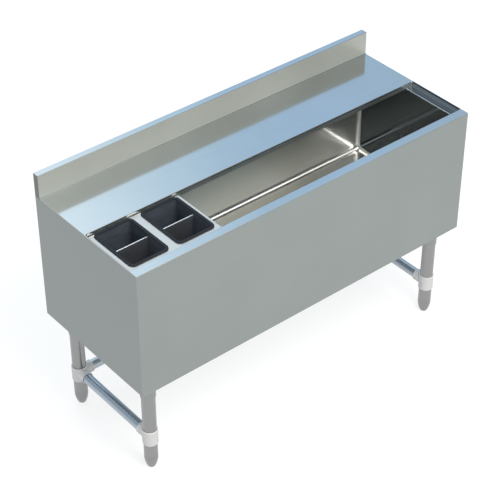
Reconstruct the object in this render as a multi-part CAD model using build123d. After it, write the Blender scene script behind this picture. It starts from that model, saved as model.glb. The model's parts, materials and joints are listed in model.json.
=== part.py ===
from build123d import *
import os
from math import pi, radians, sqrt, tan

# Underbar ice bin: an insulated stainless tank under a flat deck, with two bottle wells, on four legs.
# Millimetres. X runs along the unit to its right end, Y from its front to its back, Z up from the floor.
# The origin is on the floor below the middle of the unit.

# Overall sizes
length = 1219.2
depth = 468.0
deck_height = 762.0
skirt_height = 423.0
splash_height = 76.2
splash_thickness = 22.5

# Sheet metal
sheet = 1.2
liner_sheet = 1.0
channel_sheet = 2.0
divider_sheet = 1.2
bend = 2.0
edge_round = 0.8
splash_cove = 4.0
top_flange = 9.0
bottom_flange = 15.0
pan_flange = 15.0

# Opening in the deck and the ledges inside it
front_rim = 30.0
end_rim = 3.2
opening_width = 203.0
opening_corner = 6.0
lip_drop = 18.0
front_ledge = 6.0
end_ledge = 22.0

# Tank
tank_floor_above_skirt = 83.0
tank_rear_margin = 34.0
tank_cove = 16.0
tank_rim_round = 1.5
foam_floor = 33.0

# Well rack, wells and dividers
rack_drop = 10.0
rack_front_strip = 15.5
rack_rear_strip = 1.5
rack_middle_strip = 26.0
rack_right_strip = 10.0
rack_corner = 5.0
angle_reach = 9.0
angle_rise = 12.0
well_width = 129.0
well_depth = 165.0
well_wall = 2.5
well_corner = 18.0
well_foot_round = 8.0
well_draft = 2.0
well_overlap = 6.0
slot_rib_width = 3.0
slot_rib_height = 2.5
hem_height = 7.0
hem_thickness = 3.6
hem_below_rim = 8.0

# Drain
drain_recess_radius = 43.0
drain_recess_depth = 4.0
drain_flange_radius = 40.0
drain_flange = 3.0
drain_outer_radius = 21.0
drain_bore_radius = 17.0
drain_tail_radius = 19.05
drain_tail = 45.0
gasket_radius = 35.0
gasket_thickness = 3.0
locknut_flats = 60.0
locknut_height = 10.0
pan_drain_hole_radius = 36.0
strainer_radius = 32.0
strainer_sheet = 1.5
strainer_skirt = 12.0
strainer_hole_radius = 2.6
strainer_ring_radii = (7.0, 13.0)
strainer_hole_pitch = 7.4

# Legs, collars and rails
leg_inset_x = 57.0
leg_inset_y = 58.0
leg_diameter = 41.3
leg_wall = 1.2
leg_neck = 65.0
stub_wall = 1.6
plate_side = 76.0
plate_thickness = 4.0
plate_corner = 8.0
plate_bolt_offset = 26.0
channel_width = 80.0
channel_height = 30.0
channel_flange = 12.0
rail_height = 120.0
rail_diameter = 31.75
rail_wall = 1.2
collar_height = 52.0
collar_wall = 2.6
collar_round = 1.5
socket_wall = 2.8
socket_reach = 42.0

# Feet
foot_height = 48.0
foot_taper_height = 40.0
foot_tip_radius = 11.0
foot_tip_round = 3.0
stem_diameter = 15.875
stem_seat = 16.0
stem_above_leg_end = 62.0
insert_height = 30.0

# Fasteners
bolt_radius = 4.0
bolt_flats = 13.0
bolt_head = 5.3
nut_height = 6.5
screw_radius = 3.0
screw_proud = 1.5
screw_above_stub_end = 20.0

# Clearances
seam = 0.2
foam_gap = 0.3
foam_drain_gap = 3.0
angle_gap = 0.3
seat_gap = 0.2
rack_gap = 1.5
well_gap = 1.2
well_to_tank = 2.0
divider_gap = 0.5
slot_gap = 0.35
strainer_gap = 0.4
stub_gap = 0.4
leg_end_gap = 2.0
collar_gap = 0.3
rail_gap = 0.2
rail_end_gap = 0.6
insert_gap = 0.15
stem_gap = 0.08
foot_gap = 0.3
bolt_gap = 0.4
nut_gap = 0.1
screw_gap = 0.15

# Places worked out from the sizes above
half_length = length / 2
half_depth = depth / 2
front_y = -half_depth
back_y = half_depth
deck_under = deck_height - sheet
skirt_bottom = deck_height - skirt_height
splash_top = deck_height + splash_height
splash_front_y = back_y - splash_thickness
opening_half_x = half_length - end_rim
opening_front_y = front_y + front_rim
opening_rear_y = opening_front_y + opening_width
opening_mid_y = (opening_front_y + opening_rear_y) / 2
ledge_z = deck_height - lip_drop
tank_half_x = opening_half_x - end_ledge
tank_front_y = opening_front_y + front_ledge
tank_rear_y = back_y - tank_rear_margin
tank_mid_y = (tank_front_y + tank_rear_y) / 2
tank_floor = skirt_bottom + tank_floor_above_skirt
shell_half_x = half_length - sheet - seam
shell_half_y = half_depth - sheet - seam
pan_top = tank_floor - liner_sheet - foam_floor - 2 * foam_gap
pan_under = pan_top - sheet
rack_top = deck_height - rack_drop
rack_bottom = ledge_z + seat_gap
rack_left = -opening_half_x + rack_gap
rack_front_y = opening_front_y + rack_gap
rack_rear_y = opening_rear_y - rack_gap
rack_mid_y = (rack_front_y + rack_rear_y) / 2
well_left = -tank_half_x + well_to_tank - well_gap - well_overlap
well_pitch = well_width + rack_middle_strip
rack_right = well_left + well_pitch + well_width + rack_right_strip
well_front_y = rack_front_y + rack_front_strip
well_rear_y = rack_rear_y - rack_rear_strip
well_length = well_rear_y - well_front_y
well_mid_y = (well_front_y + well_rear_y) / 2
well_centres_x = (well_left + well_width / 2, well_left + well_pitch + well_width / 2)
well_under = rack_top + seat_gap
well_rim = well_under + well_wall
well_bottom = well_rim - well_depth
well_slope = tan(radians(well_draft))
divider_top = well_rim - hem_below_rim
slot_rib_top = divider_top - hem_height - slot_rib_height
drain_seat = tank_floor - drain_recess_depth
leg_radius = leg_diameter / 2
leg_bore_radius = leg_radius - leg_wall
leg_bottom = foot_height
channel_under = pan_under - channel_height - channel_sheet
plate_under = channel_under - plate_thickness
leg_top = plate_under - leg_end_gap
stub_bore_radius = leg_radius + stub_gap
stub_radius = stub_bore_radius + stub_wall
stub_bottom = skirt_bottom - leg_neck
leg_x = half_length - leg_inset_x
leg_y = half_depth - leg_inset_y
collar_bore_radius = leg_radius + collar_gap
collar_radius = collar_bore_radius + collar_wall
rail_radius = rail_diameter / 2
socket_bore_radius = rail_radius + rail_gap
socket_radius = socket_bore_radius + socket_wall
rail_end = leg_radius + rail_end_gap
stem_radius = stem_diameter / 2
legs = {
    "front_left": (-1, -1),
    "front_right": (1, -1),
    "rear_left": (-1, 1),
    "rear_right": (1, 1),
}


def block(x_range, y_range, z_range):
    """A plain block between the given limits."""
    size = [high - low for low, high in (x_range, y_range, z_range)]
    middle = [(high + low) / 2 for low, high in (x_range, y_range, z_range)]
    return Pos(*middle) * Box(*size)


def rounded_prism(size_x, size_y, corner, x, y, z_low, z_high):
    """An upright prism with rounded corners, centred on x and y."""
    return Pos(x, y, z_low) * extrude(RectangleRounded(size_x, size_y, corner), amount=z_high - z_low)


def upright(radius, x, y, z_low, z_high):
    """An upright cylinder between two heights."""
    return Pos(x, y, z_low) * extrude(Circle(radius), amount=z_high - z_low)


def ring(outer, inner, x, y, z_low, z_high):
    """An upright tube between two heights."""
    return Pos(x, y, z_low) * extrude(Circle(outer) - Circle(inner), amount=z_high - z_low)


def rod(radius, start, end):
    """A cylinder from one point to another."""
    start = Vector(*start)
    reach = Vector(*end) - start
    return extrude(Plane(origin=start, z_dir=reach) * Circle(radius), amount=reach.length)


def hexagon(flats, x, y, z_low, z_high):
    """An upright hexagonal prism, measured across its flats."""
    return Pos(x, y, z_low) * extrude(RegularPolygon(flats / sqrt(3), 6), amount=z_high - z_low)


def bent_section(points, radii, thickness):
    """The section of a bent sheet: one face follows the points, and the metal lies on the path's right."""
    points = [Vector(*point) for point in points]
    ways = [(after - before).normalized() for before, after in zip(points, points[1:])]
    rights = [Vector(way.Y, -way.X) for way in ways]
    far_points = [points[0] + rights[0] * thickness]
    far_radii = []
    for point, before, after, radius in zip(points[1:-1], rights, rights[1:], radii):
        far_points.append(point + (before + after) * thickness)
        far_radii.append(radius + before.cross(after).Z * thickness)
    far_points.append(points[-1] + rights[-1] * thickness)
    near = FilletPolyline(*points, radius=radii)
    far = FilletPolyline(*far_points, radius=far_radii)
    return make_face([near, far, Line(near @ 0, far @ 0), Line(near @ 1, far @ 1)])


def edges_at(part, height, half_x, low_y, high_y):
    """The edges at one height that lie inside a rectangle."""
    reach = 0.01
    level = part.edges().filter_by_position(Axis.Z, height - reach, height + reach)
    inside = level.filter_by_position(Axis.X, -half_x - reach, half_x + reach)
    return inside.filter_by_position(Axis.Y, low_y - reach, high_y + reach)


def make_top_deck():
    """Rims, turned-down lips, shelf and boxed backsplash, bent from one sheet."""
    shelf_rear_y = splash_front_y - 2 * splash_cove
    opening_x = 2 * opening_half_x
    opening = rounded_prism(
        opening_x, opening_width, opening_corner, 0, opening_mid_y, ledge_z, deck_height
    )
    lip = rounded_prism(
        opening_x + 2 * sheet,
        opening_width + 2 * sheet,
        opening_corner + sheet,
        0,
        opening_mid_y,
        ledge_z,
        deck_height,
    )
    plate = block((-half_length, half_length), (front_y, shelf_rear_y), (deck_under, deck_height))
    upper_edges = plate.faces().sort_by(Axis.Z)[-1].edges()
    plate = fillet(upper_edges.sort_by(Axis.Y)[:-1], edge_round)
    splash_path = (
        (shelf_rear_y, deck_height),
        (splash_front_y, deck_height),
        (splash_front_y, splash_top),
        (back_y, splash_top),
        (back_y, deck_height),
    )
    section = bent_section(splash_path, [splash_cove, bend, bend], sheet)
    splash = extrude(Plane.YZ.offset(-half_length) * section, amount=length)
    deck = plate + lip + splash - opening
    return fillet(edges_at(deck, deck_height, opening_half_x, opening_front_y, opening_rear_y), bend)


def make_splash_end_cap(side):
    """The plate that closes one end of the boxed backsplash."""
    low_y = splash_front_y + sheet + seam
    high_y = back_y - sheet - seam
    low_z = deck_under + seam
    high_z = splash_top - sheet - seam
    outline = RectangleRounded(high_y - low_y, high_z - low_z, bend)
    plane = Plane(
        origin=(side * half_length, (low_y + high_y) / 2, (low_z + high_z) / 2),
        x_dir=(0, 1, 0),
        z_dir=(-side, 0, 0),
    )
    return extrude(plane * outline, amount=sheet)


def body_panel(origin, inward, along, run, path):
    """A body panel, from a path of distance inwards and height."""
    section = bent_section(path, [bend] * (len(path) - 2), sheet)
    return extrude(Plane(origin=origin, x_dir=inward, z_dir=along) * section, amount=run)


def long_panel(side, top):
    """The front or back panel: both edges turned inwards, and cut back to clear the end panels."""
    path = ((bottom_flange, skirt_bottom), (0, skirt_bottom), (0, top), (top_flange, top))
    wall_y = side * half_depth
    panel = body_panel((side * half_length, wall_y, 0), (0, -side, 0), (-side, 0, 0), length, path)
    notch = bottom_flange + seam
    behind = sorted((wall_y - side * sheet, wall_y - side * 2 * bottom_flange))
    for end in (-1, 1):
        across = sorted((end * half_length, end * (half_length - notch)))
        panel -= block(across, behind, (skirt_bottom, top))
    return panel


def make_end_panel(side):
    """An end panel between the front and back panels, with its bottom edge turned inwards."""
    path = ((bottom_flange, skirt_bottom), (0, skirt_bottom), (0, deck_under))
    origin = (side * half_length, side * (front_y + sheet), 0)
    return body_panel(origin, (-side, 0, 0), (0, side, 0), depth - 2 * sheet, path)


def tank_block(grow, top):
    """The tank's space with coved corners and floor edges, grown evenly outwards."""
    part = block(
        (-tank_half_x - grow, tank_half_x + grow),
        (tank_front_y - grow, tank_rear_y + grow),
        (tank_floor - grow, top),
    )
    floor_edges = part.faces().sort_by(Axis.Z)[0].edges()
    return fillet(part.edges().filter_by(Axis.Z) + floor_edges, tank_cove + grow)


def make_tank_liner():
    """The coved tank with its ledge flange and the stamped seat of the drain."""
    flange = block(
        (-shell_half_x, shell_half_x), (-shell_half_y, shell_half_y), (ledge_z - liner_sheet, ledge_z)
    )
    liner = tank_block(liner_sheet, ledge_z) + flange
    liner += upright(
        drain_recess_radius + liner_sheet, 0, tank_mid_y, drain_seat - liner_sheet, tank_floor - liner_sheet
    )
    liner -= tank_block(0, deck_height)
    liner -= upright(drain_recess_radius, 0, tank_mid_y, drain_seat, tank_floor)
    liner -= upright(
        drain_outer_radius + screw_gap, 0, tank_mid_y, drain_seat - liner_sheet, drain_seat
    )
    rim = edges_at(liner, ledge_z, tank_half_x, tank_front_y, tank_rear_y)
    return fillet(rim, tank_rim_round)


def make_foam():
    """The insulation between the liner and the shell."""
    foam = block(
        (-shell_half_x, shell_half_x),
        (-shell_half_y, shell_half_y),
        (pan_top + foam_gap, ledge_z - liner_sheet - foam_gap),
    )
    foam -= tank_block(liner_sheet + foam_gap, deck_height)
    drain_well = drain_recess_radius + liner_sheet + foam_drain_gap
    return foam - upright(drain_well, 0, tank_mid_y, pan_under, tank_floor)


def make_bottom_pan():
    """The pan that closes the shell below the foam, with its edges turned down."""
    size_x = 2 * shell_half_x
    size_y = 2 * shell_half_y
    low = pan_top - pan_flange
    pan = rounded_prism(size_x, size_y, bend, 0, 0, low, pan_top)
    pan = fillet(pan.faces().sort_by(Axis.Z)[-1].edges(), edge_round)
    pan -= rounded_prism(size_x - 2 * sheet, size_y - 2 * sheet, bend - sheet, 0, 0, low, pan_under)
    return pan - upright(pan_drain_hole_radius, 0, tank_mid_y, pan_under, pan_top)


def make_well_rack():
    """The plate with turned-down edges that carries both wells."""
    size_x = rack_right - rack_left
    size_y = rack_rear_y - rack_front_y
    middle_x = (rack_left + rack_right) / 2
    inner_top = rack_top - sheet
    rack = rounded_prism(size_x, size_y, rack_corner, middle_x, rack_mid_y, rack_bottom, rack_top)
    rack = fillet(rack.faces().sort_by(Axis.Z)[-1].edges(), bend)
    rack -= rounded_prism(
        size_x - 2 * sheet,
        size_y - 2 * sheet,
        rack_corner - sheet,
        middle_x,
        rack_mid_y,
        rack_bottom,
        inner_top,
    )
    for x in well_centres_x:
        rack -= rounded_prism(
            well_width - 2 * well_overlap,
            well_length - 2 * well_overlap,
            well_corner - well_overlap,
            x,
            well_mid_y,
            inner_top,
            rack_top,
        )
    return rack


def make_rack_angle():
    """The ledge behind and below the shelf's lip that the rack's rear edge stands on."""
    lip_back_y = opening_rear_y + sheet + angle_gap
    top = ledge_z - angle_gap
    path = ((opening_rear_y - angle_reach, top), (lip_back_y, top), (lip_back_y, top + angle_rise))
    outline = bent_section(path, [edge_round], sheet)
    start_x = -tank_half_x + well_to_tank
    return extrude(Plane.YZ.offset(start_x) * outline, amount=rack_right - start_x)


def well_block(centre_x, inset, low, high):
    """The drafted body of a well, drawn in evenly by inset."""
    top_x = well_width - 2 * (well_overlap + well_gap + inset)
    top_y = well_length - 2 * (well_overlap + well_gap + inset)
    corner = well_corner - well_overlap - well_gap
    sections = []
    for z in (low, high):
        shrink = 2 * (well_rim - z) * well_slope
        outline = RectangleRounded(top_x - shrink, top_y - shrink, corner - inset)
        sections.append(Pos(centre_x, well_mid_y, z) * outline)
    return loft(sections)


def floor_rounded(part, radius):
    """A part with the edges of its lowest face rounded."""
    return fillet(part.faces().sort_by(Axis.Z)[0].edges(), radius)


def slab(thickness, centre_y):
    """A tall upright slice across the wells."""
    return block(
        (-half_length, half_length),
        (centre_y - thickness / 2, centre_y + thickness / 2),
        (tank_floor, splash_top),
    )


def make_bottle_well(centre_x):
    """A moulded tub with a flange, and ribs that hold its divider."""
    floor_top = well_bottom + well_wall
    well = floor_rounded(well_block(centre_x, 0, well_bottom, well_rim), well_foot_round)
    well += rounded_prism(
        well_width, well_length, well_corner, centre_x, well_mid_y, well_under, well_rim
    )
    inside = well_block(centre_x, well_wall, floor_top, well_rim)
    well -= floor_rounded(inside, well_foot_round - well_wall)
    root = well_wall / 2
    ribbed = well_block(centre_x, root, well_bottom + root, slot_rib_top)
    ribbed -= well_block(
        centre_x, well_wall + slot_rib_height, floor_top + slot_rib_height, slot_rib_top
    )
    rib_offset = divider_sheet / 2 + slot_gap + slot_rib_width / 2
    for side in (-1, 1):
        well += ribbed & slab(slot_rib_width, well_mid_y + side * rib_offset)
    rim_edges = well.faces().sort_by(Axis.Z)[-1].edges()
    return fillet(rim_edges, well_wall / 4)


def make_divider(centre_x):
    """A thin plate that stands in the well's slot, with its top edge folded over."""
    low = well_bottom + well_wall + divider_gap
    hem_low = divider_top - hem_height
    plate = floor_rounded(
        well_block(centre_x, well_wall + divider_gap, low, hem_low), well_foot_round - well_wall
    )
    divider = plate & slab(divider_sheet, well_mid_y)
    hem = well_block(centre_x, well_wall + 2 * divider_gap, hem_low, divider_top)
    hem = hem & slab(hem_thickness, well_mid_y)
    hem = fillet(hem.edges().filter_by(Axis.X), hem_thickness / 3)
    return divider + hem


def turned(points):
    """A turned piece on the drain's axis, from its half section of radius and height."""
    section = make_face(Polyline(*points, close=True))
    return Pos(0, tank_mid_y, 0) * revolve(Plane.XZ * section, Axis.Z)


def make_drain_body():
    flange_low = drain_seat + seam
    flange_high = flange_low + drain_flange
    low = pan_under - drain_tail
    return turned(
        (
            (drain_bore_radius, low),
            (drain_tail_radius, low),
            (drain_tail_radius, pan_under),
            (drain_outer_radius, pan_under),
            (drain_outer_radius, flange_low),
            (drain_flange_radius, flange_low),
            (drain_flange_radius - edge_round, flange_high),
            (drain_bore_radius, flange_high),
        )
    )


def make_drain_gasket():
    high = drain_seat - liner_sheet - seam
    return ring(gasket_radius, drain_outer_radius + seam, 0, tank_mid_y, high - gasket_thickness, high)


def make_drain_locknut():
    high = drain_seat - liner_sheet - 2 * seam - gasket_thickness
    low = high - locknut_height
    nut = hexagon(locknut_flats, 0, tank_mid_y, low, high)
    return nut - upright(drain_outer_radius + nut_gap, 0, tank_mid_y, low, high)


def make_drain_strainer():
    """A perforated disc with a skirt that drops into the drain."""
    disc_low = drain_seat + seam + drain_flange + seat_gap
    disc_high = disc_low + strainer_sheet
    skirt_radius = drain_bore_radius - strainer_gap
    strainer = upright(strainer_radius, 0, tank_mid_y, disc_low, disc_high)
    strainer = fillet(strainer.edges().sort_by(Axis.Z)[-1], strainer_sheet / 2)
    strainer += ring(
        skirt_radius, skirt_radius - sheet, 0, tank_mid_y, disc_low - strainer_skirt, disc_low
    )
    hole = Pos(0, 0, disc_low) * extrude(Circle(strainer_hole_radius), amount=strainer_sheet)
    strainer -= Pos(0, tank_mid_y, 0) * hole
    for radius in strainer_ring_radii:
        holes = round(2 * pi * radius / strainer_hole_pitch)
        for spot in PolarLocations(radius, holes):
            strainer -= Pos(0, tank_mid_y, 0) * spot * hole
    return strainer


def leg_axis(corner):
    side_x, side_y = legs[corner]
    return side_x * leg_x, side_y * leg_y


def plate_bolt_spots(corner):
    x, y = leg_axis(corner)
    reach = (-plate_bolt_offset, plate_bolt_offset)
    return [(x + dx, y + dy) for dx in reach for dy in reach]


def make_leg_channel(side):
    """A hat section under the pan that carries a front and a rear leg plate."""
    half = channel_width / 2
    path = (
        (-half - channel_flange, 0),
        (-half, 0),
        (-half, -channel_height),
        (half, -channel_height),
        (half, 0),
        (half + channel_flange, 0),
    )
    shoulder = channel_sheet + bend
    section = bent_section(path, [shoulder, bend, bend, shoulder], channel_sheet)
    half_run = shell_half_y - sheet - seam
    plane = Plane(origin=(side * leg_x, half_run, pan_under), x_dir=(1, 0, 0), z_dir=(0, -1, 0))
    channel = extrude(plane * section, amount=2 * half_run)
    for corner, (side_x, _) in legs.items():
        if side_x == side:
            for x, y in plate_bolt_spots(corner):
                channel -= upright(bolt_radius + bolt_gap, x, y, channel_under, pan_under)
    return channel


def leg_screw(corner, radius, inner, outer):
    """A cylinder across the stub's wall, on the side towards the middle of the unit."""
    x, y = leg_axis(corner)
    inward = -legs[corner][0]
    z = stub_bottom + screw_above_stub_end
    return rod(radius, (x + inward * inner, y, z), (x + inward * outer, y, z))


def make_leg_stub(corner):
    """The plate under the channel and the short tube that the leg stands in."""
    x, y = leg_axis(corner)
    stub = rounded_prism(plate_side, plate_side, plate_corner, x, y, plate_under, channel_under)
    stub += ring(stub_radius, stub_bore_radius, x, y, stub_bottom, plate_under)
    for bolt_x, bolt_y in plate_bolt_spots(corner):
        stub -= upright(bolt_radius + bolt_gap, bolt_x, bolt_y, plate_under, channel_under)
    return stub - leg_screw(corner, screw_radius + screw_gap, leg_radius, leg_diameter)


def make_leg(corner):
    x, y = leg_axis(corner)
    return ring(leg_radius, leg_bore_radius, x, y, leg_bottom, leg_top)


def make_leg_set_screws():
    tip = leg_radius + seam
    return [leg_screw(corner, screw_radius, tip, stub_radius + screw_proud) for corner in legs]


def rail_directions(corner):
    """The directions in which rails leave a collar: along the unit's end, and along its back."""
    side_x, side_y = legs[corner]
    towards_other_leg = [(0, -side_y)]
    if side_y > 0:
        towards_other_leg.append((-side_x, 0))
    return towards_other_leg


def collar_screw(corner, radius, inner, outer):
    """A cylinder across the collar's ring, on a side with no rail."""
    x, y = leg_axis(corner)
    side_x, side_y = legs[corner]
    dx, dy = (0, 1) if side_y > 0 else (-side_x, 0)
    return rod(
        radius, (x + dx * inner, y + dy * inner, rail_height), (x + dx * outer, y + dy * outer, rail_height)
    )


def socket_screw(corner, direction, radius, inner, outer):
    """A cylinder up through the underside of a rail socket."""
    x, y = leg_axis(corner)
    out = (rail_end + socket_reach) / 2
    spot_x = x + direction[0] * out
    spot_y = y + direction[1] * out
    return upright(radius, spot_x, spot_y, rail_height - outer, rail_height - inner)


def make_collar(corner):
    """The ring round a leg, with a socket for each rail that ends there."""
    x, y = leg_axis(corner)
    low = rail_height - collar_height / 2
    high = rail_height + collar_height / 2
    collar = upright(collar_radius, x, y, low, high)
    collar = fillet(collar.edges().filter_by(GeomType.CIRCLE), collar_round)
    directions = rail_directions(corner)
    for dx, dy in directions:
        end = (x + dx * socket_reach, y + dy * socket_reach, rail_height)
        collar += rod(socket_radius, (x, y, rail_height), end)
    for dx, dy in directions:
        end = (x + dx * socket_reach, y + dy * socket_reach, rail_height)
        collar -= rod(socket_bore_radius, (x, y, rail_height), end)
        collar -= socket_screw(corner, (dx, dy), screw_radius + screw_gap, rail_radius, socket_reach)
    collar -= upright(collar_bore_radius, x, y, low, high)
    return collar - collar_screw(corner, screw_radius + screw_gap, leg_radius, socket_reach)


def make_collar_set_screws():
    screws = []
    for corner in legs:
        screws.append(collar_screw(corner, screw_radius, leg_radius + seam, collar_radius + screw_proud))
        for direction in rail_directions(corner):
            low = socket_radius + screw_proud
            screws.append(socket_screw(corner, direction, screw_radius, rail_radius + seam, low))
    return screws


def rail(start, end):
    """A rail tube between two legs."""
    start = Vector(*start)
    end = Vector(*end)
    along = (end - start).normalized()
    start = start + along * rail_end
    end = end - along * rail_end
    return rod(rail_radius, start, end) - rod(rail_radius - rail_wall, start, end)


def make_end_rail(side):
    return rail((side * leg_x, -leg_y, rail_height), (side * leg_x, leg_y, rail_height))


def make_rear_rail():
    return rail((-leg_x, leg_y, rail_height), (leg_x, leg_y, rail_height))


def make_leg_insert(corner):
    """The plug in the end of a leg, bored for the foot's stem."""
    x, y = leg_axis(corner)
    high = leg_bottom + insert_height
    return ring(leg_bore_radius - insert_gap, stem_radius + stem_gap, x, y, leg_bottom, high)


def make_foot(corner):
    """A bullet foot, of the leg's diameter at its top, drawn in to a rounded tip."""
    x, y = leg_axis(corner)
    high = leg_bottom - foot_gap
    side = Line((leg_radius, high), (leg_radius, foot_taper_height))
    nose = TangentArc(side @ 1, (foot_tip_radius, 0), tangent=(0, -1))
    base = Polyline(nose @ 1, (0, 0), (0, high), side @ 0)
    foot = revolve(Plane.XZ * make_face([side, nose, base]), Axis.Z)
    foot = fillet(foot.edges().sort_by(Axis.Z)[0], foot_tip_round)
    return Pos(x, y, 0) * foot - upright(stem_radius + stem_gap, x, y, stem_seat, high)


def make_foot_stem(corner):
    x, y = leg_axis(corner)
    stem = upright(stem_radius, x, y, stem_seat, leg_bottom + stem_above_leg_end)
    return chamfer(stem.edges().filter_by(GeomType.CIRCLE).sort_by(Axis.Z)[-1], edge_round)


def make_plate_bolts():
    bolts = []
    for corner in legs:
        for x, y in plate_bolt_spots(corner):
            head = hexagon(bolt_flats, x, y, plate_under - bolt_head, plate_under)
            tip = channel_under + channel_sheet + nut_height + bolt_radius / 2
            bolts.append(head + upright(bolt_radius, x, y, plate_under, tip))
    return bolts


def make_plate_nuts():
    nuts = []
    low = channel_under + channel_sheet
    high = low + nut_height
    for corner in legs:
        for x, y in plate_bolt_spots(corner):
            nut = hexagon(bolt_flats, x, y, low, high)
            nuts.append(nut - upright(bolt_radius + nut_gap, x, y, low, high))
    return nuts


def save(name, solids):
    """Write one node: a single solid, or a group of them."""
    if isinstance(solids, list):
        solids = Compound([solid for item in solids for solid in item.solids()])
    export_step(solids, f"parts/{name}.step")


def save_body():
    save("top_deck", make_top_deck())
    save("front_panel", long_panel(-1, deck_under))
    save("back_panel", long_panel(1, deck_height))
    save("bottom_pan", make_bottom_pan())
    save("tank_liner", make_tank_liner())
    save("foam_insulation", make_foam())
    for name, side in (("left", -1), ("right", 1)):
        save(f"{name}_splash_end_cap", make_splash_end_cap(side))
        save(f"{name}_end_panel", make_end_panel(side))


def save_wells():
    save("well_rack", make_well_rack())
    save("rack_rear_angle", make_rack_angle())
    for name, x in zip(("left", "right"), well_centres_x):
        save(f"{name}_bottle_well", make_bottle_well(x))
        save(f"{name}_well_divider", make_divider(x))


def save_drain():
    save("drain_body", make_drain_body())
    save("drain_gasket", make_drain_gasket())
    save("drain_locknut", make_drain_locknut())
    save("drain_strainer", make_drain_strainer())


def save_stand():
    for name, side in (("left", -1), ("right", 1)):
        save(f"{name}_leg_channel", make_leg_channel(side))
        save(f"{name}_end_rail", make_end_rail(side))
    save("rear_rail", make_rear_rail())
    for corner in legs:
        save(f"{corner}_leg_stub", make_leg_stub(corner))
        save(f"{corner}_leg", make_leg(corner))
        save(f"{corner}_collar", make_collar(corner))
        save(f"{corner}_leg_insert", make_leg_insert(corner))
        save(f"{corner}_foot", make_foot(corner))
        save(f"{corner}_foot_stem", make_foot_stem(corner))
    save("leg_plate_bolts", make_plate_bolts())
    save("leg_plate_nuts", make_plate_nuts())
    save("leg_set_screws", make_leg_set_screws())
    save("collar_set_screws", make_collar_set_screws())


os.makedirs("parts", exist_ok=True)
save_body()
save_wells()
save_drain()
save_stand()
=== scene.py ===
import json
from math import cos, radians, sin, tau

import bpy
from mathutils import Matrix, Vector


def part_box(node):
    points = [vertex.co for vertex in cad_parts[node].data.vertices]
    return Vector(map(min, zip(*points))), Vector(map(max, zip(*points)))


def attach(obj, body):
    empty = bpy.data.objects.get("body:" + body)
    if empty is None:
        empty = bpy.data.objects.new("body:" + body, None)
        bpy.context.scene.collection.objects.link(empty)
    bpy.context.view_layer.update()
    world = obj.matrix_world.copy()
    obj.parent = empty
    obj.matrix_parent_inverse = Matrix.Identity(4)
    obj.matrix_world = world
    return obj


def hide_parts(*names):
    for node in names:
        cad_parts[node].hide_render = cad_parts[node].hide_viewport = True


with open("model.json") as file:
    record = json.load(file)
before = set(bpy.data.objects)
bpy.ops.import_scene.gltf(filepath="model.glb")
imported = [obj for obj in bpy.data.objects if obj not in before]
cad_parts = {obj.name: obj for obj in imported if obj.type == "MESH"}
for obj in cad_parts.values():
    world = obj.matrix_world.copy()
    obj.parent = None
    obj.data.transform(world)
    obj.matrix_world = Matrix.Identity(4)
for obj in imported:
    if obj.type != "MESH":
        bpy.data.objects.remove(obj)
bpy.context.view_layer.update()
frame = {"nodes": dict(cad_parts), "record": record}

# Camera, as fitted to the photograph: metres, and millimetres for the lens and its sensor
CAMERA_AIM = Vector((-0.024, 0.014, 0.414))
CAMERA_DISTANCE = 4.726
CAMERA_AZIMUTH = radians(39.66)
CAMERA_ELEVATION = radians(37.74)
CAMERA_LENS = 113.84
CAMERA_SENSOR = 36.0

# Noise: scales for each axis, which stretch it into brush lines, and the range that holds most of its values
LEVEL_SHEET_LINES = (6, 900, 6)
UPRIGHT_SHEET_LINES = (6, 6, 900)
TUBE_ALONG_X = (6, 700, 700)
TUBE_ALONG_Y = (700, 6, 700)
TUBE_ALONG_Z = (700, 700, 6)
LINE_DETAIL = 3.0
CLOUD_SCALE = (4, 4, 4)
NOISE_LOW = 0.3
NOISE_HIGH = 0.7

# How far brush lines and clouds change steel's colour and roughness, and how the lines stand in relief
STEEL_SHADE = (0.97, 1.03)
STEEL_ROUGHNESS = (0.9, 1.1)
BRUSH_DEPTH = 0.00002
BRUSH_RELIEF = 0.15

# Grain of cast, moulded and foamed stuff
GRAIN_DETAIL = 4.0
GRAIN_SHADE = (0.92, 1.08)
GRAIN_ROUGHNESS = 0.06
GRAIN_DEPTH = 0.0002
GRAIN_RELIEF = 0.2

# The wells' plastic, which is smooth enough for a weak gloss, with scuffs that run down its walls
PLASTIC_IOR = 1.32
PLASTIC_GRAIN = (1400, 1400, 1400)
PLASTIC_GRAIN_DEPTH = 0.00008
PLASTIC_GRAIN_RELIEF = 0.25
SCUFF_SCALE = (22, 22, 90)
SCUFF_LOW = 0.35
SCUFF_SHADE = (0.88, 1.2)
SCUFF_SMOOTHER = 0.08
SCUFF_ROUGHER = 0.06

# Parts of the normal that tell level, upright, bent and square-on faces apart
BRUSH_LEVEL = 0.6
UPRIGHT = 0.3
LEVEL = 0.7
FULL_BEND = 0.80
NO_BEND = 0.97
NEARLY_SQUARE = 0.9
SQUARE = 0.98

# Edges of the finishes on tank, wells and deck, and the deck's opening as the CAD has it
EDGE_SOFT = 0.001
TANK_RIM = 0.004
WELL_RIM_SOFT = 0.002
SPLASH_FOOT = 0.001
LIP_START = 0.003
END_RIM = 0.0032
END_RIM_SOFT = 0.0008
OPENING_FRONT = -0.204
OPENING_REAR = -0.001

# The tank's clear polish, and its brushing round the unit's long axis
TANK_COAT_ROUGHNESS = 0.06
TANK_COAT_IOR = 2.4
TANK_ANISOTROPY = 0.8
TANK_ANISOTROPY_TURN = 0.25

# Thread on the stems of the feet: 11 turns to the inch, with flats on crests and roots
THREAD_PITCH = 0.0254 / 11
THREAD_DEPTH = 0.0014
THREAD_FLAT = 0.1
THREAD_SIDES = 32
THREAD_ROWS_PER_TURN = 8

FLOOR_SIZE = 60.0
FLOOR_GREY = 0.3
FLOOR_GLOW = 0.75


def grey(level):
    return (level, level, level)


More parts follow.
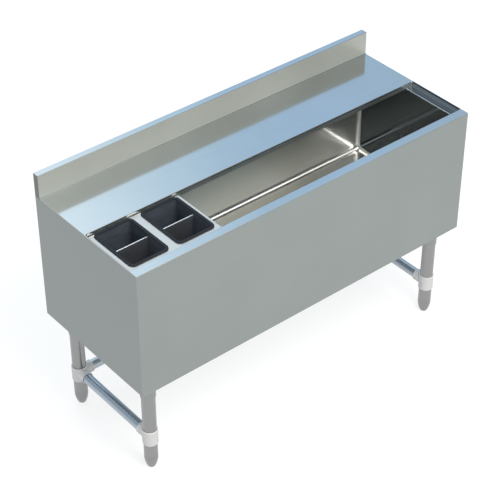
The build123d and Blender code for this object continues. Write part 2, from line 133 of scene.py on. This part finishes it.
# Sky colours by direction: from the object's left (-1) to its right (1)
SKY_STRENGTH = 1.3
SKY_BACK = (
    (-1.00, (0.66, 0.72, 0.77)),
    (-0.66, (0.60, 0.66, 0.72)),
    (-0.62, (0.12, 0.17, 0.23)),
    (-0.56, (0.12, 0.17, 0.23)),
    (-0.52, (0.48, 0.55, 0.62)),
    (-0.20, (0.60, 0.68, 0.76)),
    (0.20, (0.79, 0.91, 1.01)),
    (0.42, (0.94, 1.10, 1.18)),
    (0.47, (0.64, 0.82, 0.94)),
    (0.53, (0.43, 0.61, 0.78)),
    (0.58, (0.44, 0.61, 0.79)),
    (0.63, (0.40, 0.55, 0.68)),
    (1.00, (0.48, 0.58, 0.67)),
)
SKY_FRONT = (
    (-1.00, (0.60, 0.60, 0.58)),
    (-0.20, (0.80, 0.79, 0.75)),
    (0.40, (0.85, 0.85, 0.76)),
    (0.50, (0.42, 0.44, 0.38)),
    (0.60, (0.34, 0.36, 0.34)),
    (1.00, (0.40, 0.42, 0.40)),
)
HORIZON_BACK = ((-0.7, grey(0.50)), (0.0, grey(0.40)), (1.0, grey(0.35)))
HORIZON_FRONT = ((-1.0, grey(0.70)), (1.0, grey(0.60)))
# Half the width of the change from front to back, and the heights between which the horizon fades out
SKY_SEAM = 0.3
HORIZON_FULL = 0.05
HORIZON_END = 0.30


def direction(azimuth, elevation):
    """Unit vector from the object, where azimuth turns from +Y towards +X."""
    flat = cos(elevation)
    return Vector((flat * sin(azimuth), flat * cos(azimuth), sin(elevation)))


def add_camera():
    data = bpy.data.cameras.new("photo_camera")
    data.sensor_width = CAMERA_SENSOR
    data.lens = CAMERA_LENS
    camera = bpy.data.objects.new("photo_camera", data)
    bpy.context.scene.collection.objects.link(camera)
    forward = direction(CAMERA_AZIMUTH, -CAMERA_ELEVATION)
    camera.location = CAMERA_AIM - forward * CAMERA_DISTANCE
    camera.rotation_euler = forward.to_track_quat("-Z", "Y").to_euler()
    bpy.context.scene.camera = camera


class Nodes:
    """A material's or world's node tree, with short ways to add and join nodes."""

    def __init__(self, owner, output):
        owner.use_nodes = True
        self.owner = owner
        self.tree = owner.node_tree
        self.tree.nodes.clear()
        self.output = self.add(output)

    def add(self, kind, **settings):
        node = self.tree.nodes.new(kind)
        for key, value in settings.items():
            setattr(node, key, value)
        return node

    def join(self, source, target):
        self.tree.links.new(source, target)

    def feed(self, socket, value):
        """Set a socket from a number, or join it to another node's output."""
        if isinstance(value, (int, float)):
            socket.default_value = value
        else:
            self.join(value, socket)

    def maths(self, operation, first, second=0.0):
        node = self.add("ShaderNodeMath", operation=operation)
        self.feed(node.inputs[0], first)
        self.feed(node.inputs[1], second)
        return node.outputs["Value"]

    def spread(self, value, low, high, new_low, new_high):
        """A value's range, spread over a new range and held inside it."""
        node = self.add("ShaderNodeMapRange")
        node.inputs["From Min"].default_value = low
        node.inputs["From Max"].default_value = high
        node.inputs["To Min"].default_value = new_low
        node.inputs["To Max"].default_value = new_high
        self.join(value, node.inputs["Value"])
        return node.outputs["Result"]

    def rise(self, value, low, high):
        """A mask that goes from 0 to 1 between two values."""
        return self.spread(value, low, high, 0.0, 1.0)

    def fall(self, value, low, high):
        """A mask that goes from 1 to 0 between two values."""
        return self.spread(value, low, high, 1.0, 0.0)

    def between(self, mask, off, on):
        """A number that goes from off to on with a mask."""
        return self.spread(mask, 0.0, 1.0, off, on)

    def vary(self, noise, low, high):
        """A number that a noise moves between two values."""
        return self.spread(noise, NOISE_LOW, NOISE_HIGH, low, high)

    def inverse(self, mask):
        return self.maths("SUBTRACT", 1.0, mask)

    def mix(self, factor, first, second, kind="MIX"):
        """Two colours, mixed or multiplied. Each is a tuple or another node's output."""
        node = self.add("ShaderNodeMix", data_type="RGBA", blend_type=kind)
        self.feed(node.inputs["Factor"], factor)
        colour_inputs = [socket for socket in node.inputs if socket.type == "RGBA"]
        for socket, value in zip(colour_inputs, (first, second)):
            if isinstance(value, tuple):
                socket.default_value = (*value, 1.0)
            else:
                self.join(value, socket)
        return [socket for socket in node.outputs if socket.type == "RGBA"][0]

    def shaded(self, colour, shade):
        return self.mix(1.0, colour, shade, "MULTIPLY")

    def noise(self, scale, detail=2.0):
        """Noise over the object's own coordinates, with a scale for each axis."""
        coordinates = self.add("ShaderNodeTexCoord")
        mapping = self.add("ShaderNodeMapping")
        mapping.inputs["Scale"].default_value = scale
        self.join(coordinates.outputs["Object"], mapping.inputs["Vector"])
        node = self.add("ShaderNodeTexNoise")
        node.inputs["Scale"].default_value = 1.0
        node.inputs["Detail"].default_value = detail
        self.join(mapping.outputs["Vector"], node.inputs["Vector"])
        return node.outputs["Fac"]

    def axis(self, vector, name):
        split = self.add("ShaderNodeSeparateXYZ")
        self.join(vector, split.inputs["Vector"])
        return split.outputs[name]

    def place(self, axis):
        """A point's place along an axis, in the object's own coordinates."""
        return self.axis(self.add("ShaderNodeTexCoord").outputs["Object"], axis)

    def normal(self, axis):
        return self.axis(self.add("ShaderNodeNewGeometry").outputs["Normal"], axis)

    def facing(self, axis):
        """How squarely a face looks along an axis, either way."""
        return self.maths("ABSOLUTE", self.normal(axis))

    def bump(self, height, distance, strength):
        node = self.add("ShaderNodeBump")
        node.inputs["Distance"].default_value = distance
        node.inputs["Strength"].default_value = strength
        self.join(height, node.inputs["Height"])
        return node.outputs["Normal"]

    def principled(self, metallic):
        shader = self.add("ShaderNodeBsdfPrincipled")
        shader.inputs["Metallic"].default_value = metallic
        self.join(shader.outputs["BSDF"], self.output.inputs["Surface"])
        return shader


def new_material(name):
    return Nodes(bpy.data.materials.new(name), "ShaderNodeOutputMaterial")


def above(nodes, height, soft=EDGE_SOFT):
    """A mask that is 1 above a height."""
    return nodes.rise(nodes.place("Z"), height - soft, height + soft)


def rounded(nodes):
    """A mask that is 1 on coves and bends, where the surface faces along none of the axes."""
    largest = 0.0
    for axis in "XYZ":
        largest = nodes.maths("MAXIMUM", nodes.facing(axis), largest)
    return nodes.fall(largest, FULL_BEND, NO_BEND)


def end_rims(nodes):
    """A mask that is 1 on the narrow rims at both ends of the deck's opening."""
    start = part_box("top_deck")[1][0] - END_RIM
    outside = nodes.rise(nodes.maths("ABSOLUTE", nodes.place("X")), start - END_RIM_SOFT, start)
    y = nodes.place("Y")
    behind_front_rim = nodes.rise(y, OPENING_FRONT - EDGE_SOFT, OPENING_FRONT + EDGE_SOFT)
    before_shelf = nodes.fall(y, OPENING_REAR - EDGE_SOFT, OPENING_REAR + EDGE_SOFT)
    return nodes.maths("MULTIPLY", outside, nodes.maths("MULTIPLY", behind_front_rim, before_shelf))


def brushed(nodes):
    """Brush lines along the unit on level faces, and level ones on upright faces."""
    node = nodes.add("ShaderNodeMix", data_type="FLOAT")
    nodes.join(nodes.maths("GREATER_THAN", nodes.facing("Z"), BRUSH_LEVEL), node.inputs["Factor"])
    numbers = [socket for socket in node.inputs if socket.type == "VALUE" and socket.name in "AB"]
    nodes.join(nodes.noise(UPRIGHT_SHEET_LINES, LINE_DETAIL), numbers[0])
    nodes.join(nodes.noise(LEVEL_SHEET_LINES, LINE_DETAIL), numbers[1])
    return [socket for socket in node.outputs if socket.type == "VALUE"][0]


def finish_steel(nodes, shader, colour, roughness, lines):
    """Brush lines in colour, roughness and relief, with broad faint clouding."""
    clouds = nodes.noise(CLOUD_SCALE)
    shade = nodes.maths("MULTIPLY", nodes.vary(lines, *STEEL_SHADE), nodes.vary(clouds, *STEEL_SHADE))
    nodes.join(nodes.shaded(colour, shade), shader.inputs["Base Color"])
    smears = nodes.maths("MULTIPLY", nodes.vary(lines, *STEEL_ROUGHNESS), nodes.vary(clouds, *STEEL_ROUGHNESS))
    nodes.join(nodes.maths("MULTIPLY", roughness, smears), shader.inputs["Roughness"])
    nodes.join(nodes.bump(lines, BRUSH_DEPTH, BRUSH_RELIEF), shader.inputs["Normal"])


def sheet_steel(name, colour, roughness, metallic=1.0, bend_painted_shade_colour=None):
    """Brushed sheet, with bends darkened by painted shade where a colour is given for them."""
    nodes = new_material(name)
    base = nodes.mix(rounded(nodes), colour, bend_painted_shade_colour) if bend_painted_shade_colour else colour
    finish_steel(nodes, nodes.principled(metallic), base, roughness, brushed(nodes))
    return nodes.owner


def tube_steel(name, colour, roughness, lines):
    """Tube, polished along its length."""
    nodes = new_material(name)
    finish_steel(nodes, nodes.principled(1.0), colour, roughness, nodes.noise(lines, LINE_DETAIL))
    return nodes.owner


def cast(name, colour, metallic, roughness, grain_scale):
    """Cast, moulded or foamed stuff with an even fine grain."""
    nodes = new_material(name)
    shader = nodes.principled(metallic)
    grain = nodes.noise((grain_scale, grain_scale, grain_scale), GRAIN_DETAIL)
    nodes.join(nodes.shaded(colour, nodes.vary(grain, *GRAIN_SHADE)), shader.inputs["Base Color"])
    gloss = nodes.vary(grain, roughness - GRAIN_ROUGHNESS, roughness + GRAIN_ROUGHNESS)
    nodes.join(gloss, shader.inputs["Roughness"])
    nodes.join(nodes.bump(grain, GRAIN_DEPTH, GRAIN_RELIEF), shader.inputs["Normal"])
    return nodes.owner


def moulded_plastic(name, colour, inside_painted_light_colour, roughness):
    """Black plastic with a fine moulded grain and scuffs, lighter grey inside and below the rim as painted
    light in the deep wells.
    """
    nodes = new_material(name)
    shader = nodes.principled(0.0)
    shader.inputs["IOR"].default_value = PLASTIC_IOR
    scuffs = nodes.noise(SCUFF_SCALE, LINE_DETAIL)
    rim = above(nodes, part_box("well_rack")[1][2], WELL_RIM_SOFT)
    shade = nodes.spread(scuffs, SCUFF_LOW, NOISE_HIGH, *SCUFF_SHADE)
    # Painted light: below the rim the wells get a lighter grey, standing in for light in their deep inside
    nodes.join(nodes.shaded(nodes.mix(rim, inside_painted_light_colour, colour), shade), shader.inputs["Base Color"])
    gloss = nodes.vary(scuffs, roughness - SCUFF_SMOOTHER, roughness + SCUFF_ROUGHER)
    nodes.join(gloss, shader.inputs["Roughness"])
    grain = nodes.noise(PLASTIC_GRAIN)
    nodes.join(nodes.bump(grain, PLASTIC_GRAIN_DEPTH, PLASTIC_GRAIN_RELIEF), shader.inputs["Normal"])
    return nodes.owner


def tank_steel(
    name, colour, roughness, floor_painted_shade_colour, end_wall_painted_shade_colour, rim_painted_light_colour, dark_roughness, cove_painted_highlight_colour, cove_roughness
):
    """Polished sheet with painted shade: darker on floor, end walls and rim. Coved corners are ground and left
    satin, and near-white as a painted highlight.
    """
    nodes = new_material(name)
    rim = above(nodes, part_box("tank_liner")[1][2] - TANK_RIM)
    end = nodes.rise(nodes.facing("X"), NEARLY_SQUARE, SQUARE)
    floor = nodes.rise(nodes.normal("Z"), NEARLY_SQUARE, SQUARE)
    dark = nodes.maths("MAXIMUM", end, rim)
    cove = rounded(nodes)
    # Painted shade: the floor, the end walls and the rim get darker copies of the walls' colour
    base = nodes.mix(floor, nodes.mix(end, colour, end_wall_painted_shade_colour), floor_painted_shade_colour)
    base = nodes.mix(rim, base, rim_painted_light_colour)
    # Painted highlight: the coves get a near-white colour so that they show as bright lines
    base = nodes.mix(cove, base, cove_painted_highlight_colour)
    shader = nodes.principled(1.0)
    nodes.join(nodes.inverse(dark), shader.inputs["Coat Weight"])
    shader.inputs["Coat Roughness"].default_value = TANK_COAT_ROUGHNESS
    shader.inputs["Coat IOR"].default_value = TANK_COAT_IOR
    shader.inputs["Anisotropic"].default_value = TANK_ANISOTROPY
    shader.inputs["Anisotropic Rotation"].default_value = TANK_ANISOTROPY_TURN
    around = nodes.add("ShaderNodeTangent", direction_type="RADIAL", axis="X")
    nodes.join(around.outputs["Tangent"], shader.inputs["Tangent"])
    polish = nodes.between(dark, roughness, dark_roughness)
    satin = nodes.maths("MULTIPLY", cove, cove_roughness)
    finish_steel(nodes, shader, base, nodes.maths("MAXIMUM", polish, satin), brushed(nodes))
    return nodes.owner


def deck_steel(
    name, colour, roughness, splash_colour, splash_roughness, splash_metallic, lip_painted_shade_colour, lip_roughness,
    bend_painted_shade_colour, left_rim_painted_reflection_colour, right_rim_painted_reflection_colour
):
    """Polished sheet, with a satin backsplash, dull lips darkened by painted shade, bends darkened by painted
    shade, and a painted reflection on each end rim: light on the left, dark on the right.
    """
    nodes = new_material(name)
    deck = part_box("front_panel")[1][2]
    upright = nodes.fall(nodes.facing("Z"), UPRIGHT, LEVEL)
    splash = nodes.maths("MULTIPLY", above(nodes, deck + SPLASH_FOOT), upright)
    top = above(nodes, deck - LIP_START)
    lip = nodes.inverse(top)
    bend = rounded(nodes)
    # Painted shade: the lip gets a darker copy of the deck's colour
    base = nodes.mix(lip, nodes.mix(splash, colour, splash_colour), lip_painted_shade_colour)
    # Painted shade: the bends are darkened
    base = nodes.mix(bend, base, bend_painted_shade_colour)
    # Painted reflection: the end rims get a light colour on the left and a dark one on the right
    on_right = nodes.rise(nodes.place("X"), -EDGE_SOFT, EDGE_SOFT)
    rim_painted_light_colour = nodes.mix(on_right, left_rim_painted_reflection_colour, right_rim_painted_reflection_colour)
    base = nodes.mix(nodes.maths("MULTIPLY", end_rims(nodes), top), base, rim_painted_light_colour)
    shader = nodes.principled(1.0)
    nodes.join(nodes.between(splash, 1.0, splash_metallic), shader.inputs["Metallic"])
    polish = nodes.between(splash, roughness, splash_roughness)
    flat_lip = nodes.maths("MULTIPLY", lip, nodes.inverse(bend))
    dull = nodes.maths("MULTIPLY", flat_lip, lip_roughness)
    finish_steel(nodes, shader, base, nodes.maths("MAXIMUM", polish, dull), brushed(nodes))
    return nodes.owner


RAIL_COLOUR = (0.38, 0.43, 0.48)
RAIL_ROUGHNESS = 0.26
FINISHES = {
    "deck_steel": deck_steel(
        "deck_steel",
        colour=(0.55, 0.57, 0.59),
        roughness=0.12,
        splash_colour=(0.400, 0.413, 0.383),
        splash_roughness=0.42,
        splash_metallic=0.45,
        # Painted shade on the lip
        lip_painted_shade_colour=(0.46, 0.50, 0.52),
        lip_roughness=0.45,
        # Painted shade on the deck's bends
        bend_painted_shade_colour=(0.30, 0.32, 0.31),
        # Painted reflections on the end rims
        left_rim_painted_reflection_colour=(0.64, 0.58, 0.54),
        right_rim_painted_reflection_colour=(0.08, 0.105, 0.13),
    ),
    "tank_steel": tank_steel(
        "tank_steel",
        colour=(0.76, 0.745, 0.69),
        roughness=0.38,
        # Painted shade: darker colours for the floor, the end walls and the rim
        floor_painted_shade_colour=(0.285, 0.292, 0.27),
        end_wall_painted_shade_colour=(0.087, 0.101, 0.110),
        rim_painted_light_colour=(0.27, 0.30, 0.32),
        dark_roughness=0.10,
        # Painted highlight: near-white coves
        cove_painted_highlight_colour=(0.97, 0.97, 0.95),
        cove_roughness=0.47,
    ),
    "panel_steel": sheet_steel("panel_steel", colour=(0.302, 0.327, 0.318), roughness=0.34),
    # Painted shade: dark bends on the rack
    "rack_steel": sheet_steel(
        "rack_steel", colour=(0.67, 0.637, 0.608), roughness=0.40, bend_painted_shade_colour=(0.16, 0.17, 0.17)
    ),
    "divider_steel": sheet_steel(
        "divider_steel", colour=(0.64, 0.66, 0.70), roughness=0.35, metallic=0.975
    ),
    "drain_steel": sheet_steel("drain_steel", colour=(0.60, 0.61, 0.62), roughness=0.2),
    "stub_steel": tube_steel(
        "stub_steel", colour=(0.292, 0.306, 0.299), roughness=0.34, lines=TUBE_ALONG_Z
    ),
    "leg_steel": tube_steel(
        "leg_steel", colour=(0.303, 0.304, 0.301), roughness=0.30, lines=TUBE_ALONG_Z
    ),
    "foot_steel": tube_steel(
        "foot_steel", colour=(0.290, 0.291, 0.288), roughness=0.32, lines=TUBE_ALONG_Z
    ),
    "rail_steel": tube_steel("rail_steel", RAIL_COLOUR, RAIL_ROUGHNESS, lines=TUBE_ALONG_X),
    # Painted light: the lighter grey inside the wells
    "well_plastic": moulded_plastic(
        "well_plastic", colour=(0.009, 0.011, 0.015), inside_painted_light_colour=(0.053, 0.063, 0.080), roughness=0.5
    ),
    "foam": cast("foam", colour=(0.86, 0.80, 0.62), metallic=0.0, roughness=0.9, grain_scale=400),
    "pan_steel": cast("pan_steel", colour=(0.46, 0.48, 0.50), metallic=1.0, roughness=0.45, grain_scale=60),
    "collar_alloy": cast(
        "collar_alloy", colour=(0.74, 0.74, 0.74), metallic=0.2, roughness=0.45, grain_scale=700
    ),
    "gasket_rubber": cast(
        "gasket_rubber", colour=(0.03, 0.03, 0.03), metallic=0.0, roughness=0.8, grain_scale=600
    ),
    "locknut_brass": cast(
        "locknut_brass", colour=(0.72, 0.54, 0.26), metallic=1.0, roughness=0.35, grain_scale=500
    ),
    "fastener_steel": cast(
        "fastener_steel", colour=(0.50, 0.51, 0.52), metallic=1.0, roughness=0.35, grain_scale=500
    ),
}

# Nodes at the unit's ends that differ from their slots: darker sheet on end panels and splash end caps, which
# is painted shade, and rails that run along Y
END_PANEL_PAINTED_SHADE_STEEL = sheet_steel("end_panel_painted_shade_steel", colour=(0.250, 0.272, 0.266), roughness=0.34)
END_CAP_PAINTED_SHADE_STEEL = sheet_steel("end_cap_painted_shade_steel", colour=(0.150, 0.152, 0.140), roughness=0.34)
END_RAIL_STEEL = tube_steel("end_rail_steel", RAIL_COLOUR, RAIL_ROUGHNESS, lines=TUBE_ALONG_Y)
NODE_FINISHES = {
    "left_end_panel": END_PANEL_PAINTED_SHADE_STEEL,
    "right_end_panel": END_PANEL_PAINTED_SHADE_STEEL,
    "left_splash_end_cap": END_CAP_PAINTED_SHADE_STEEL,
    "right_splash_end_cap": END_CAP_PAINTED_SHADE_STEEL,
    "left_end_rail": END_RAIL_STEEL,
    "right_end_rail": END_RAIL_STEEL,
}


def dress_nodes():
    """Each CAD node gets the finish of its slot, or its own."""
    for entry in frame["record"]["subparts"]:
        mesh = frame["nodes"][entry["node"]].data
        mesh.materials.clear()
        mesh.materials.append(NODE_FINISHES.get(entry["node"], FINISHES[entry["material_slot"]]))


def thread_points(x, y, low, high, crest):
    """Rows of points up a threaded rod whose thread runs out at both ends."""
    rows = round((high - low) / THREAD_PITCH * THREAD_ROWS_PER_TURN)
    points = []
    for row in range(rows + 1):
        z = low + (high - low) * row / rows
        run_out = min(1.0, (z - low) / THREAD_PITCH, (high - z) / THREAD_PITCH)
        for side in range(THREAD_SIDES):
            turn = side / THREAD_SIDES
            wave = abs(2.0 * (((z - low) / THREAD_PITCH - turn) % 1.0) - 1.0)
            flank = min(1.0, max(0.0, (wave - THREAD_FLAT) / (1.0 - 2.0 * THREAD_FLAT)))
            radius = crest - THREAD_DEPTH * (1.0 - flank * run_out)
            points.append((x + radius * cos(turn * tau), y + radius * sin(turn * tau), z))
    return points


def add_threaded_stem(corner):
    """A foot's stem with its thread, in place of the plain one."""
    low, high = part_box(f"{corner}_foot_stem")
    x, y = (low[0] + high[0]) / 2, (low[1] + high[1]) / 2
    points = thread_points(x, y, low[2], high[2], (high[0] - low[0]) / 2)
    last_row = len(points) - THREAD_SIDES
    faces = [tuple(range(THREAD_SIDES))[::-1], tuple(range(last_row, len(points)))]
    for start in range(0, last_row, THREAD_SIDES):
        for side in range(THREAD_SIDES):
            near, far = start + side, start + (side + 1) % THREAD_SIDES
            faces.append((near, far, far + THREAD_SIDES, near + THREAD_SIDES))
    mesh = bpy.data.meshes.new(f"{corner}_threaded_stem")
    mesh.from_pydata(points, [], faces)
    mesh.materials.append(FINISHES["fastener_steel"])
    stem = bpy.data.objects.new(f"{corner}_threaded_stem", mesh)
    bpy.context.scene.collection.objects.link(stem)
    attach(stem, f"{corner}_levelling_foot")
    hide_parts(f"{corner}_foot_stem")


def add_floor():
    """A floor that looks white to the camera and in the metal, keeps the shadow, and is clear from below."""
    nodes = new_material("floor")
    diffuse = nodes.add("ShaderNodeBsdfDiffuse")
    diffuse.inputs["Color"].default_value = (*grey(FLOOR_GREY), 1.0)
    glow = nodes.add("ShaderNodeEmission")
    glow.inputs["Color"].default_value = (1.0, 1.0, 1.0, 1.0)
    path = nodes.add("ShaderNodeLightPath")
    seen = nodes.maths("MAXIMUM", path.outputs["Is Camera Ray"], path.outputs["Is Glossy Ray"])
    nodes.join(nodes.maths("MULTIPLY", seen, FLOOR_GLOW), glow.inputs["Strength"])
    total = nodes.add("ShaderNodeAddShader")
    nodes.join(diffuse.outputs["BSDF"], total.inputs[0])
    nodes.join(glow.outputs["Emission"], total.inputs[1])
    geometry = nodes.add("ShaderNodeNewGeometry")
    sided = nodes.add("ShaderNodeMixShader")
    nodes.join(geometry.outputs["Backfacing"], sided.inputs["Fac"])
    nodes.join(total.outputs["Shader"], sided.inputs[1])
    nodes.join(nodes.add("ShaderNodeBsdfTransparent").outputs["BSDF"], sided.inputs[2])
    nodes.join(sided.outputs["Shader"], nodes.output.inputs["Surface"])
    bpy.ops.mesh.primitive_plane_add(size=FLOOR_SIZE, location=(0, 0, 0))
    floor = bpy.context.object
    floor.name = "floor"
    floor.data.materials.append(nodes.owner)


def add_softbox(name, aim, azimuth, elevation, distance, size, power, colour):
    """A large area lamp that faces its aim."""
    data = bpy.data.lights.new(name, "AREA")
    data.shape = "RECTANGLE"
    data.size, data.size_y = size
    data.energy = power
    data.color = colour
    lamp = bpy.data.objects.new(name, data)
    bpy.context.scene.collection.objects.link(lamp)
    out = direction(radians(azimuth), radians(elevation))
    lamp.location = Vector(aim) + out * distance
    lamp.rotation_euler = (-out).to_track_quat("-Z", "Y").to_euler()


def stops(nodes, value, colours):
    """A colour ramp over a direction's component, from -1 to 1."""
    ramp = nodes.add("ShaderNodeValToRGB")
    nodes.join(nodes.rise(value, -1.0, 1.0), ramp.inputs["Fac"])
    elements = ramp.color_ramp.elements
    while len(elements) < len(colours):
        elements.new(0.5)
    for element, (place, colour) in zip(elements, colours):
        element.position = (place + 1.0) / 2.0
        element.color = (*colour, 1.0)
    return ramp.outputs["Color"]


def add_world():
    """A studio: white to the camera, with a cool sky behind the object and a warm one in front of it."""
    world = bpy.data.worlds.new("studio")
    bpy.context.scene.world = world
    nodes = Nodes(world, "ShaderNodeOutputWorld")
    background = nodes.add("ShaderNodeBackground")
    nodes.join(background.outputs["Background"], nodes.output.inputs["Surface"])
    way = nodes.add("ShaderNodeTexCoord").outputs["Generated"]
    across = nodes.axis(way, "X")
    behind = nodes.rise(nodes.axis(way, "Y"), -SKY_SEAM, SKY_SEAM)
    low = nodes.fall(nodes.axis(way, "Z"), HORIZON_FULL, HORIZON_END)
    sky = nodes.mix(behind, stops(nodes, across, SKY_FRONT), stops(nodes, across, SKY_BACK))
    horizon = nodes.mix(behind, stops(nodes, across, HORIZON_FRONT), stops(nodes, across, HORIZON_BACK))
    sky = nodes.mix(low, sky, horizon)
    path = nodes.add("ShaderNodeLightPath")
    seen = nodes.mix(path.outputs["Is Camera Ray"], sky, grey(1.0 / SKY_STRENGTH))
    nodes.join(seen, background.inputs["Color"])
    background.inputs["Strength"].default_value = SKY_STRENGTH


add_camera()
dress_nodes()
for end in ("front", "rear"):
    for side in ("left", "right"):
        add_threaded_stem(f"{end}_{side}")
add_floor()
add_world()
add_softbox(
    "key",
    aim=(0, 0, 0.7),
    azimuth=184,
    elevation=51,
    distance=3.5,
    size=(1.6, 1.5),
    power=85,
    colour=(1.0, 1.0, 0.98),
)
bpy.context.scene.view_settings.view_transform = "Standard"
